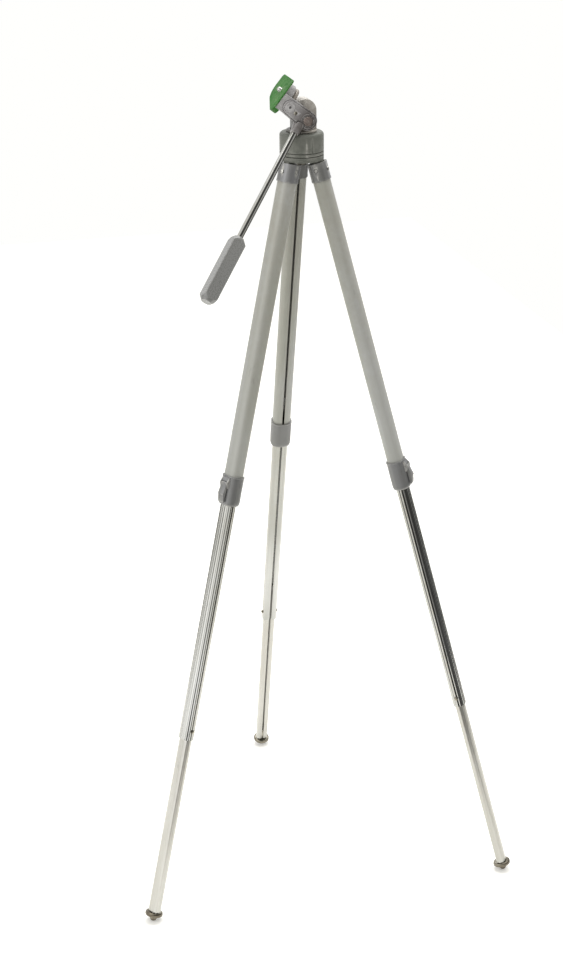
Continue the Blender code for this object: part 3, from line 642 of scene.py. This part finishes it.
def make_arm():
    """The tilting arm with its pad, bridge and handle boss, its cover and the cover's screw."""
    pivot = TILT @ ACROSS
    pad_place = TILT @ at(*SCREW_AXIS, 0)
    low, high = PAD
    joins = [tool(cylinder(PAD_RADIUS, low, high, SEGMENTS), pad_place, 0.5),
             tool(box((-ARM_HALF_WIDTH, ARM[0] - 1, BRIDGE_BOTTOM),
                      (ARM_HALF_WIDTH, SCREW_AXIS[1], high)), TILT, 0.4),
             tool(lathe([(7.4, 1), (6.6, 8), (5.4, BOSS_LENGTH)], segments=64), HANDLE, 0.5)]
    cuts = [tool(cylinder(PIVOT_BORE, -THROUGH, THROUGH), pivot),
            tool(cylinder(QUARTER_INCH + GAP, low - 5, PLATFORM_TOP + 5), pad_place),
            tool(cylinder(ROD_RADIUS + GAP, ROD_START, BOSS_LENGTH + 5), HANDLE),
            tool(box((-THROUGH, ARM[0], -20), (THROUGH, ARM[0] + 12, 20)), TILT),
            tool(slab(cover_outline(COVER_SUNK), ARM[1] - 2, ARM[1] + COVER_SUNK), TILT)]
    cuts += platform_screw_holes(low)
    outline = [(ARM_HALF_WIDTH, high), (-ARM_HALF_WIDTH, high)]
    outline += arc((0, 0), ARM_END_RADIUS, *ARM_END_ARC, 40)
    make("tilt_arm", "tilt_head", slab(outline, *ARM), TILT, 0.7, joins, cuts)

    low, high = COVER
    pivot_rings = [tool(lathe([(inner, high - 0.3), (inner, high + 0.45), (outer, high + 0.45),
                               (outer, high - 0.3)], wrap=True), pivot, 0.2)
                   for inner, outer in COVER_RINGS]
    boss = TILT @ at(0, 0, COVER_END[0], ACROSS)
    screw = TILT @ at(COVER_SCREW[0], 0, COVER_SCREW[1], ACROSS)
    joins = [tool(cylinder(6.3, low + 0.5, high + 1), boss, 0.5)] + pivot_rings
    cuts = [tool(cylinder(radius, low - 2, high + 4), place)
            for radius, place in ((COVER_END_HOLE, boss), (COVER_WINDOW, pivot),
                                  (COVER_SCREW_HOLE, screw))]
    cuts.append(tool(cylinder(BOSS_CLEARANCE, 0, BOSS_LENGTH), HANDLE))
    make("arm_cover", "tilt_head", slab(cover_outline(), -high, -low + COVER_SUNK), TILT, 0.35,
         joins, cuts)
    slit = tool(box((-3, -0.3, high + 1.0), (3, 0.3, high + 3)),
                screw @ Matrix.Rotation(0.6, 4, "Z"))
    make("cover_screw", "tilt_head",
         lathe([(0, high + 1.6), (0.8, high + 1.5), (1.5, high + 1.3), (2.1, high + 0.9),
                (2.4, high + GAP), (1.2, high + GAP), (1.2, low + GAP), (0, low + GAP)],
               segments=48), screw, cuts=[slit])


def make_pivot():
    """The tilt joint's bolt, spacer and nut."""
    bore = PIVOT_BORE
    low, high = SPACER
    pivot = TILT @ ACROSS
    make("tilt_spacer", "tilt_head",
         lathe([(bore, high), (11, high), (11, low), (bore, low)], wrap=True), pivot, 0.4)
    head = -ARM[1] + GAP
    make("tilt_bolt", "tilt_head",
         lathe([(0, head + 2.4), (3.2, head + 2.4), (4.4, head + 1.8), (5.4, head + 1.8),
                (6, head + 1.2), (6, head), (4, head), (4, -18.5), (0, -18.5)]), pivot, 0.2)
    keep("tilt_nut", 0.4)


def make_platform():
    """The pressed platform, the camera screw with its thread, and the screw's knurled knob."""
    reach = 40
    under = PLATFORM_TOP - PLATFORM_THICKNESS
    bottom = PLATFORM_TOP - PLATFORM_LIP
    cuts = [tool(plate(rounded(POCKET_CORNERS), bottom - 5, under), TILT),
            tool(box((-6, -reach, bottom - 5), (reach, reach, under)), TILT),
            tool(box((-ARM_HALF_WIDTH - GAP, -reach, bottom - 5), (0, SCREW_AXIS[1] + GAP, under)),
                 TILT),
            tool(cylinder(QUARTER_INCH + GAP, bottom - 5, PLATFORM_TOP + 5),
                 TILT @ at(*SCREW_AXIS, 0))]
    cuts += platform_screw_holes(BRIDGE_BOTTOM)
    make("camera_platform", "tilt_head", plate(rounded(PLATFORM_CORNERS), bottom, PLATFORM_TOP),
         TILT, 0.6, cuts=cuts)
    keep("platform_screw_inner")
    keep("platform_screw_outer")

    place = TILT @ at(*SCREW_AXIS, 0)
    top = PLATFORM_TOP + SCREW_TIP
    profile = [(0, top), (QUARTER_INCH - 1.1, top), (QUARTER_INCH - 0.4, top - 0.7)]
    height = top - 0.9
    while height > PLATFORM_TOP - 6:
        profile += [(QUARTER_INCH - 0.6, height), (QUARTER_INCH, height - THREAD_PITCH * 0.45),
                    (QUARTER_INCH, height - THREAD_PITCH * 0.55)]
        height -= THREAD_PITCH
    base = KNOB[0] - GAP
    profile += [(QUARTER_INCH - 0.3, height), (QUARTER_INCH - 0.3, base), (4.6, base),
                (5, base - 0.4), (5, base - 1.0), (4.6, base - 1.3), (0, base - 1.3)]
    make("camera_screw", "camera_screw", lathe(profile), place)
    teeth = 60
    count = 6 * teeth
    loops = []
    for radius, height in ((KNOB_RADIUS - 1.2, KNOB[1]), (KNOB_RADIUS - 0.5, KNOB[1] - 0.25),
                           (KNOB_RADIUS, KNOB[1] - 1), (KNOB_RADIUS, KNOB[0] + 1),
                           (KNOB_RADIUS - 0.5, KNOB[0] + 0.25), (KNOB_RADIUS - 1.2, KNOB[0])):
        loop = []
        for i in range(count):
            angle = 2 * math.pi * i / count
            cut = 0.45 * max(0.0, math.cos(teeth * angle)) if radius > KNOB_RADIUS - 1 else 0.0
            loop.append(((radius - cut) * math.cos(angle), (radius - cut) * math.sin(angle),
                         height))
        loops.append(loop)
    bore = QUARTER_INCH + GAP
    rest = [(KNOB_RADIUS - 4, KNOB[0]), (KNOB_RADIUS - 4.4, KNOB[0] + 0.6), (7.0, KNOB[0] + 0.6),
            (6.6, KNOB[0]), (bore, KNOB[0]), (bore, KNOB[1])]
    loops += [circle_loop(radius, height, count) for radius, height in rest]
    make("camera_knob", "camera_screw", loft(loops, wrap=True), place)


def make_handle():
    """The pan handle: a round rod and a square grip with coned ends."""
    start = ROD_START + GAP
    make("handle_rod", "handle",
         lathe([(0, start), (ROD_RADIUS - 0.6, start), (ROD_RADIUS, start + 0.6),
                (ROD_RADIUS, start + 60), (ROD_RADIUS, start + ROD_LENGTH),
                (0, start + ROD_LENGTH)]), HANDLE)
    points, corner = 160, 16
    low, high = GRIP

    def loop(height):
        """The grip's section at a height."""
        cone = GRIP_END_RADIUS + min(height - low, high - height) * GRIP_END_SLOPE
        row = []
        for i in range(points):
            angle = 2 * math.pi * i / points
            square = (abs(math.cos(angle)) ** corner
                      + abs(math.sin(angle)) ** corner) ** (-1 / corner)
            radius = min(square * GRIP_SIDE / 2, cone)
            row.append((radius * math.cos(angle), radius * math.sin(angle), height))
        return row

    steps = [0.0] + [2.6 + 0.35 * i for i in range(22)]
    heights = [low + step for step in steps] + [high - step for step in reversed(steps)]
    socket = tool(cylinder(ROD_RADIUS + GAP, low - 5, start + ROD_LENGTH + GAP), HANDLE)
    make("handle_grip", "handle", loft([loop(height) for height in heights]), HANDLE, cuts=[socket])


# ---------------------------------------------------------------- legs

def make_upper_leg(leg):
    """A leg's cap, upper tube and rivet, its lock collar, and the pins and lever."""
    place, body = LEG_AXES[leg], f"{leg}_leg"
    top, bottom = -CAP["top"], -CAP["bottom"]
    depth, width = CAP["depth"], CAP["width"]
    bore = (UPPER["depth"] + 2 * GAP, UPPER["width"] + 2 * GAP)
    loops = [section_loop(depth, width, top), section_loop(depth, width, bottom + 3),
             section_loop(depth + 0.5, width + 0.5, bottom + 2),
             section_loop(depth + 0.5, width + 0.5, bottom),
             section_loop(*bore, bottom), section_loop(*bore, top)]
    drill = [tool(cylinder(PIN_RADIUS + GAP, -20, 20), place @ ACROSS) for _ in range(2)]
    rivet_place = place @ at(0, 0, -RIVET_DOWN, Matrix.Rotation(math.pi / 2, 4, "Y"))
    punch = [tool(cylinder(RIVET_RADIUS + GAP, 0, 20), rivet_place) for _ in range(2)]
    make(f"{leg}_leg_cap", body, loft(loops, wrap=True), place, 0.25, cuts=[drill[0], punch[0]])
    make(f"{leg}_upper_tube", body, channel(UPPER, *UPPER_ENDS), place, cuts=[drill[1], punch[1]])
    face = depth / 2 + GAP
    inside = UPPER["depth"] / 2 - UPPER["wall"]
    dome = [(RIVET_HEAD[0] * math.sin(math.radians(a)),
             face + RIVET_HEAD[1] * math.cos(math.radians(a)))
            for a in range(0, 91, 15)]
    stem = [(RIVET_RADIUS, face), (RIVET_RADIUS, inside), (0, inside)]
    make(f"{leg}_cap_rivet", body, lathe(dome + stem, segments=48), rivet_place)

    top, bottom, rim = -COLLAR["top"], -COLLAR["bottom"], COLLAR["rim"]
    depth, width = COLLAR["depth"], COLLAR["width"]
    ledge = -UPPER_ENDS[1] - GAP
    throat = (MIDDLE["depth"] + 2.4 * GAP, MIDDLE["width"] + 2.4 * GAP)
    loops = [section_loop(depth + 2 * rim, width + 2 * rim, top),
             section_loop(depth + 2 * rim, width + 2 * rim, top - 1.8),
             section_loop(depth, width, top - 2.2)]
    steps, mouth = 6, (throat[0] + 2.4, throat[1] + 2.4)
    for step in range(steps + 1):
        turn = math.radians(90 * step / steps)
        loops.append(section_loop(depth + (mouth[0] - depth) * (1 - math.cos(turn)),
                                  width + (mouth[1] - width) * (1 - math.cos(turn)),
                                  bottom + COLLAR["taper"] * (1 - math.sin(turn))))
    loops += [section_loop(*throat, bottom), section_loop(*throat, ledge),
              section_loop(*bore, ledge), section_loop(*bore, top)]
    out, down = LEVER_PIN
    inside, slope = depth / 2 - 0.8, top - 2.5
    joins = []
    for side in (-1, 1):
        edges = sorted((side * (LEVER_WIDTH / 2 + GAP), side * (LEVER_WIDTH / 2 + 1.9)))
        outline = rounded([(inside, -down - 7, 0.1), (inside, slope, 0.1),
                           (depth / 2 + 0.3, slope, 0.2), (out + 1.8, -down + 1.4, 1.2),
                           (out + 1.8, -down - 1.6, 1.4), (out - 0.4, -down - 7, 0.3)], 6)
        joins.append(tool(slab(outline, *edges), place, 0.3))
    brow = slab([(inside, -down + 2.7), (inside, slope), (depth / 2 + 0.3, slope),
                 (out + 0.4, -down + 2.7)],
                -LEVER_WIDTH / 2 - 1, LEVER_WIDTH / 2 + 1)
    joins.append(tool(brow, place, 0.2))
    lever_place = place @ at(out, 0, -down)
    pin_hole = [tool(cylinder(LEVER_PIN_RADIUS + GAP, -9, 9), lever_place @ ACROSS)
                for _ in range(2)]
    make(f"{leg}_lock_collar", body, loft(loops, wrap=True), place, 0.2, joins, [pin_hole[0]])
    keep(f"{leg}_lever_pin", 0.1)
    keep(f"{leg}_hinge_pin", 0.15)
    make_lever(leg, lever_place, pin_hole[1], LEVER_END - down)


def make_lever(leg, place, pin_hole, length):
    """The flip lever: a blade along the collar, with a hump for the finger before its free end."""
    outline = arc((0, 0), 1.85, 180, 10, 16)
    outline += [(1.6, -4), (3.9, -13.6), (4.2, -14.6), (4.25, -15.2), (3.9, -15.7), (3.4, -16.0),
                (2.2, -length + 4), (1.2, -length + 0.4), (0.8, -length), (-0.6, -length),
                (-1.3, -6)]
    half = LEVER_WIDTH / 2
    blade = shape_object("blade", slab(outline, -half, half), place)
    soften(blade, 0.35)
    sides = rounded([(-half, 2.4, 0.6), (half, 2.4, 0.6), (half, -length - 0.3, 1.6),
                     (-half, -length - 0.3, 1.6)], 8)
    mould = shape_object("mould", loft([[(x, y, z) for y, z in sides] for x in (-6, 6)]), place)
    combine(blade, "INTERSECT", mould)
    combine(blade, "DIFFERENCE", pin_hole)
    finish_piece(blade, f"{leg}_lever", f"{leg}_lock_lever")


def middle_end(angle, share):
    """The middle tube's end is cut away towards its slot."""
    past = max(0.0, (abs(angle) - 2.2) / 0.9)
    return 3.0 * share * past * past, 0.0


def lower_end(angle, share):
    """The lower tube's end is scalloped by its flutes and spread a little over the foot."""
    return 0.55 * share * (1 - math.cos(LOWER["flutes"] * angle)), 0.45 * share * share


def make_lower_leg(leg):
    """A leg's middle and lower tubes, the lock buttons and the foot."""
    place = LEG_AXES[leg]
    hole_place = place @ at(0, 0, -BUTTON_DOWN, ACROSS)
    holes = [tool(cylinder(BUTTON_RADIUS + GAP, -20, 20), hole_place) for _ in range(2)]
    make(f"{leg}_middle_tube", f"{leg}_middle", channel(MIDDLE, *MIDDLE_ENDS, middle_end), place,
         cuts=[holes[0]])
    make(f"{leg}_lower_tube", f"{leg}_lower", channel(LOWER, *LOWER_ENDS, lower_end), place,
         cuts=[holes[1]])
    keep(f"{leg}_button_near", 0.3)
    keep(f"{leg}_button_far", 0.3)
    top = -LOWER_ENDS[1] - GAP
    bottom = top - FOOT_THICKNESS
    plug_size = (LOWER["depth"] - 2 * LOWER["wall"] - 2 * GAP,
                 LOWER["width"] - 2 * LOWER["wall"] - 2 * GAP)
    rim = (arc((FOOT_RADIUS - 2.2, top - 2.2), 2.2, 90, 0, 8)
           + arc((FOOT_RADIUS - 1.6, bottom + 1.6), 1.6, 0, -90, 8))
    disc = lathe([(0, top)] + rim + [(6.2, bottom), (5.8, bottom + 0.5), (0, bottom + 0.5)])
    plug = tool(loft([section_loop(*plug_size, top + 18), section_loop(*plug_size, top - 0.5)]),
                place)
    make(f"{leg}_foot_disc", f"{leg}_lower", disc, place, 0.15, [plug])
    centre = -(LEG_LENGTH - TIP_RADIUS)
    dome = [(TIP_RADIUS * math.cos(math.radians(a)),
             centre - TIP_RADIUS * math.sin(math.radians(a)))
            for a in range(0, 90, 6)]
    tip = [(0, bottom - GAP), (TIP_RADIUS - 0.5, bottom - GAP), (TIP_RADIUS, bottom - GAP - 0.5)]
    make(f"{leg}_foot_tip", f"{leg}_lower",
         lathe(tip + dome + [(0, centre - TIP_RADIUS)], segments=64), place)


# ---------------------------------------------------------------- stage, light and camera

def make_stage():
    """A plain pale floor. It gives a little light of its own, so its edges don't show."""
    shape = bmesh.new()
    steps = 12

    def step(ends, i):
        """The i-th of even steps between two ends."""
        return ends[0] + (ends[1] - ends[0]) * i / steps

    grid = [[shape.verts.new((step(FLOOR_ACROSS, i), step(FLOOR_ALONG, j), FLOOR_HEIGHT))
             for j in range(steps + 1)] for i in range(steps + 1)]
    for i in range(steps):
        for j in range(steps):
            shape.faces.new((grid[i][j], grid[i + 1][j], grid[i + 1][j + 1], grid[i][j + 1]))
    mesh = bpy.data.meshes.new("floor")
    shape.to_mesh(mesh)
    shape.free()
    floor = add_object("floor", mesh, Matrix())
    material = bpy.data.materials.new("pale_floor")
    material.use_nodes = True
    tree = material.node_tree
    shader = tree.nodes["Principled BSDF"]
    coordinates = node(tree, "ShaderNodeTexCoord").outputs["Object"]
    tone = mix(tree, noise(tree, coordinates, 1.5), (0.97, 0.965, 0.94), (0.95, 0.945, 0.915))
    tree.links.new(tone, shader.inputs["Base Color"])
    shader.inputs["Roughness"].default_value = 0.9
    shader.inputs["Emission Color"].default_value = (1.0, 0.99, 0.965, 1)
    shader.inputs["Emission Strength"].default_value = 0.22
    shader.inputs["Specular IOR Level"].default_value = 0.1
    mesh.materials.append(material)


# How bright the room round the tripod is in reflections, at three heights. A stop is (place, grey):
# 0 and 1 are behind the tripod, 0.25 its left, 0.5 the camera's side and 0.75 its right.
ROOM_LOW = (
    (0.00, 1.00), (0.30, 1.00), (0.38, 0.45), (0.41, 0.14), (0.45, 0.04), (0.50, 0.03),
    (0.56, 0.25), (0.60, 0.12), (0.70, 0.04), (0.80, 0.10), (0.86, 0.80), (1.00, 1.00))
ROOM_LEVEL = (
    (0.00, 1.10), (0.09, 1.10), (0.13, 0.25), (0.20, 0.25), (0.24, 0.80), (0.30, 1.70),
    (0.36, 1.90), (0.42, 1.60), (0.47, 0.80), (0.52, 0.30), (0.55, 0.15), (0.60, 0.05),
    (0.74, 0.04), (0.80, 0.30), (0.85, 0.90), (1.00, 1.10))
ROOM_HIGH = (
    (0.00, 1.20), (0.36, 1.20), (0.46, 0.08), (0.80, 0.08), (0.90, 1.20), (1.00, 1.20))


def make_world():
    """A studio in three parts.

    The camera sees plain white, matt surfaces get even light, and only reflections show the
    pattern of bright and dark that a room gives.
    """
    world = bpy.data.worlds.new("studio")
    bpy.context.scene.world = world
    world.use_nodes = True
    tree = world.node_tree
    tree.nodes.clear()
    direction = node(tree, "ShaderNodeTexCoord").outputs["Generated"]
    parts = node(tree, "ShaderNodeSeparateXYZ", {"Vector": direction}).outputs
    front = node(tree, "ShaderNodeMath", {0: parts["Y"], 1: -1.0}, operation="MULTIPLY").outputs[0]
    turn = node(tree, "ShaderNodeMath", {0: parts["X"], 1: front}, operation="ARCTAN2").outputs[0]
    share = node(tree, "ShaderNodeMapRange",
                 {"Value": turn, "From Min": -math.pi, "From Max": math.pi}).outputs[0]
    low, level, high = (ramp(tree, share, stops) for stops in (ROOM_LOW, ROOM_LEVEL, ROOM_HIGH))
    height = node(tree, "ShaderNodeMapRange",
                  {"Value": parts["Z"], "From Min": -1.0, "From Max": 1.0}).outputs[0]
    round_about = mix(tree, ramp(tree, height,
                                 ((0.40, 0.0), (0.45, 1.0), (0.55, 1.0), (0.59, 0.0))), low, level)
    sky = mix(tree, ramp(tree, parts["Z"], ((0.45, 0.0), (0.70, 1.0))), round_about, high)
    studio = node(tree, "ShaderNodeBackground", {"Color": sky, "Strength": 1.0})
    even = node(tree, "ShaderNodeBackground", {"Color": (1.0, 0.995, 0.97, 1), "Strength": 0.80})
    seen = node(tree, "ShaderNodeBackground", {"Color": (1.0, 1.0, 0.985, 1), "Strength": 1.0})
    path = node(tree, "ShaderNodeLightPath").outputs
    lit = node(tree, "ShaderNodeMixShader",
               {0: path["Is Glossy Ray"], 1: even.outputs[0], 2: studio.outputs[0]})
    both = node(tree, "ShaderNodeMixShader",
                {0: path["Is Camera Ray"], 1: lit.outputs[0], 2: seen.outputs[0]})
    out = node(tree, "ShaderNodeOutputWorld")
    tree.links.new(both.outputs[0], out.inputs["Surface"])


def make_light(name, place, aim, size, power):
    """A soft square light at a place, turned to a point."""
    data = bpy.data.lights.new(name, "AREA")
    data.shape = "SQUARE"
    data.size = size
    data.energy = power
    turned = (Vector(aim) - Vector(place)).to_track_quat("-Z", "Y").to_matrix().to_4x4()
    add_object(name, data, Matrix.Translation(place) @ turned)


def make_camera():
    """The photograph's viewpoint."""
    yaw, pitch, roll = (math.radians(angle) for angle in CAMERA_TURN)
    forward = Vector((math.sin(yaw) * math.cos(pitch), math.cos(yaw) * math.cos(pitch),
                      -math.sin(pitch)))
    right = Vector((math.cos(yaw), -math.sin(yaw), 0))
    up = right.cross(forward)
    across = right * math.cos(roll) + up * math.sin(roll)
    upward = up * math.cos(roll) - right * math.sin(roll)
    data = bpy.data.cameras.new("camera")
    data.lens = CAMERA_LENS
    data.sensor_width = SENSOR_WIDTH
    turned = Matrix((across, upward, -forward)).transposed().to_4x4()
    turned.translation = CAMERA_PLACE
    bpy.context.scene.camera = add_object("camera", data, turned)


make_camera()
make_world()
make_stage()
for name, settings in LIGHTS.items():
    make_light(name, *settings)
bpy.context.scene.view_settings.view_transform = "Standard"
make_hub()
make_post()
make_arm()
make_pivot()
make_platform()
make_handle()
for leg in LEGS:
    make_upper_leg(leg)
    make_lower_leg(leg)
